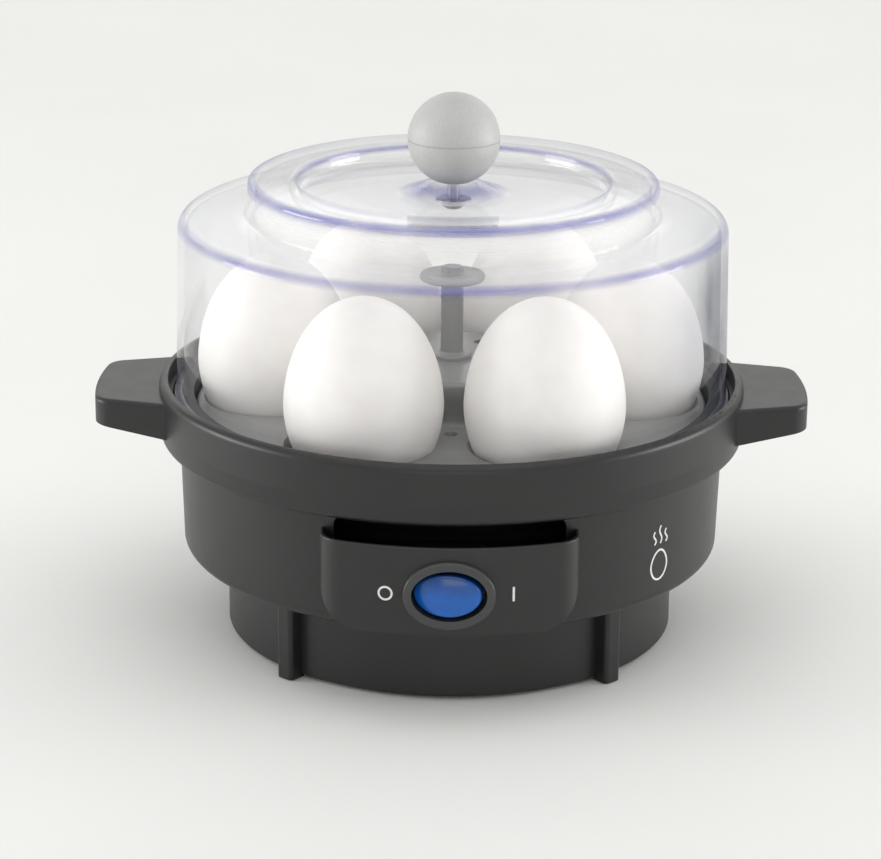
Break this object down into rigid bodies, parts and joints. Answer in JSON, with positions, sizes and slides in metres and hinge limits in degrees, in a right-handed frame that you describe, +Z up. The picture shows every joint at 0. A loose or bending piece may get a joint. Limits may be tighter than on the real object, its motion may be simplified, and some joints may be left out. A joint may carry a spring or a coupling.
{
  "type": "egg cooker",
  "caption": "Electric egg cooker with a clear lid, ball knob, lift-out egg tray, two side handles and a front rocker switch.",
  "frame": {"origin": "centre of the footprint on the surface that the feet rest on", "axes": "+Z up, -Y towards the switch panel, +X to the right seen from the front, along the two side handles"},
  "size_m": [0.202, 0.1749, 0.1546],
  "materials": {
    "clear_plastic": "clear polished moulding with a faint violet tint at its edges",
    "silver_plastic": "satin silver",
    "tray_plastic": "satin dark grey",
    "black_plastic": "satin black",
    "black_gloss": "semi-gloss black",
    "blue_plastic": "translucent blue, glossy",
    "steel": "brushed stainless",
    "heater_sheath": "oxidised steel tube",
    "thermostat_body": "ceramic white",
    "brass": "plain",
    "seal_rubber": "silicone",
    "foot_rubber": "matte",
    "white_plastic": "white, plain",
    "wire_brown": "glass-sleeved wire",
    "wire_white": "glass-sleeved wire",
    "wire_blue": "glass-sleeved wire"
  },
  "bodies": {
    "housing": {"rim_collar": "black_plastic", "basin_shell": "black_plastic", "lower_housing": "black_plastic", "base_plate": "black_plastic", "housing_screws": "steel", "heating_plate": "steel", "plate_seal": "seal_rubber", "plate_clamp": "steel", "plate_nuts": "steel", "heating_element": "heater_sheath", "thermostat": "thermostat_body", "thermostat_strap": "steel", "strap_screws": "steel", "thermal_fuse": "thermostat_body", "control_fascia": "black_plastic", "switch_bezel": "black_gloss", "switch_body": "black_plastic", "switch_terminals": "brass", "cord_gland": "black_plastic", "terminal_block": "white_plastic", "wire_live": "wire_brown", "wire_heater": "wire_brown", "wire_link": "wire_white", "wire_neutral": "wire_blue", "rubber_foot_1": "foot_rubber", "rubber_foot_2": "foot_rubber", "rubber_foot_3": "foot_rubber", "rubber_foot_4": "foot_rubber"},
    "tray": {"egg_tray": "tray_plastic", "tray_post": "tray_plastic", "tray_post_nut": "steel"},
    "lid": {"lid_shell": "clear_plastic", "lid_knob_upper": "silver_plastic", "lid_knob_lower": "silver_plastic", "knob_screw": "steel", "knob_washer": "steel"},
    "rocker": {"switch_rocker": "blue_plastic"}
  },
  "joints": [
    {"name": "lid_lift", "type": "slide", "parent": "housing", "child": "lid", "axis": [0, 0, 1], "range_m": [0, 0.16]},
    {"name": "tray_lift", "type": "slide", "parent": "housing", "child": "tray", "axis": [0, 0, 1], "range_m": [0, 0.08]},
    {"name": "rocker_tilt", "type": "hinge", "parent": "housing", "child": "rocker", "pos_m": [0, -0.0815, 0.039], "axis": [0, 0, 1], "range_deg": [0, 16]}
  ],
  "couplings": [
    {"joint": "tray_lift", "follows": "lid_lift", "ratio": 0.5}
  ]
}
